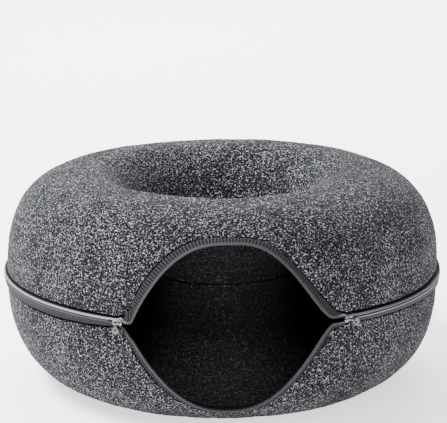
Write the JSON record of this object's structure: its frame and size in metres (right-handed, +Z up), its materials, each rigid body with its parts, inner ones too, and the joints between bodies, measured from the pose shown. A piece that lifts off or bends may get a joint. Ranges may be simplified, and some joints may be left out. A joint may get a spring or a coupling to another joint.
{
  "type": "ring-shaped felt pet tunnel",
  "caption": "Ring-shaped felt tunnel for a small pet: upper and lower felt half shells zipped together, a lens-shaped entrance between two zip sliders, and an open centre hole.",
  "frame": {"origin": "on the floor, under the centre of the bounding box", "axes": "+Z up, -Y towards the entrance, +X to the right as seen from the entrance"},
  "size_m": [0.6106, 0.5964, 0.2893],
  "materials": {
    "felt": "matt needle felt",
    "tape": "woven tape",
    "coil": "satin",
    "metal": "polished"
  },
  "bodies": {
    "tunnel": {"upper_shell": "felt", "lower_shell": "felt", "outer_zip_upper_tape": "tape", "outer_zip_lower_tape": "tape", "outer_zip_upper_coil": "coil", "outer_zip_lower_coil": "coil", "outer_zip_end_patch": "tape", "inner_zip_upper_tape": "tape", "inner_zip_lower_tape": "tape", "inner_zip_upper_coil": "coil", "inner_zip_lower_coil": "coil", "inner_zip_stop": "metal"},
    "left_runner": {"left_slider": "metal"},
    "left_link": {"left_pull_ring": "metal"},
    "left_tab": {"left_pull_tab": "metal"},
    "right_runner": {"right_slider": "metal"},
    "right_link": {"right_pull_ring": "metal"},
    "right_tab": {"right_pull_tab": "metal"},
    "inner_runner": {"inner_slider": "metal"},
    "inner_link": {"inner_pull_ring": "metal"},
    "inner_tab": {"inner_pull_tab": "metal"}
  },
  "joints": [
    {"name": "left_slider_travel", "type": "hinge", "parent": "tunnel", "child": "left_runner", "pos_m": [0, -0.00865, 0.1513], "axis": [0, 0, 1], "range_deg": [-145, 0]},
    {"name": "left_ring_swing", "type": "hinge", "parent": "left_runner", "child": "left_link", "pos_m": [-0.14835, -0.28176, 0.1513], "axis": [-0.8796, 0.4756, 0], "range_deg": [-10, 180]},
    {"name": "left_tab_swing", "type": "hinge", "parent": "left_link", "child": "left_tab", "pos_m": [-0.14835, -0.28176, 0.14785], "axis": [-0.4756, -0.8796, 0], "range_deg": [-74, 68]},
    {"name": "right_slider_travel", "type": "hinge", "parent": "tunnel", "child": "right_runner", "pos_m": [0, -0.00865, 0.1513], "axis": [0, 0, 1], "range_deg": [0, 145]},
    {"name": "right_ring_swing", "type": "hinge", "parent": "right_runner", "child": "right_link", "pos_m": [0.15239, -0.27954, 0.1513], "axis": [-0.8755, -0.4833, 0], "range_deg": [-10, 180]},
    {"name": "right_tab_swing", "type": "hinge", "parent": "right_link", "child": "right_tab", "pos_m": [0.15239, -0.27954, 0.14785], "axis": [0.4833, -0.8755, 0], "range_deg": [-148, 1]},
    {"name": "inner_slider_travel", "type": "hinge", "parent": "tunnel", "child": "inner_runner", "pos_m": [0, -0.00865, 0.1513], "axis": [0, 0, 1], "range_deg": [-344, 4]},
    {"name": "inner_ring_swing", "type": "hinge", "parent": "inner_runner", "child": "inner_link", "pos_m": [0.01767, 0.07719, 0.1513], "axis": [-0.9848, 0.1736, 0], "range_deg": [-10, 180]},
    {"name": "inner_tab_swing", "type": "hinge", "parent": "inner_link", "child": "inner_tab", "pos_m": [0.01767, 0.07719, 0.14785], "axis": [-0.1736, -0.9848, 0], "range_deg": [-64, 70]}
  ]
}
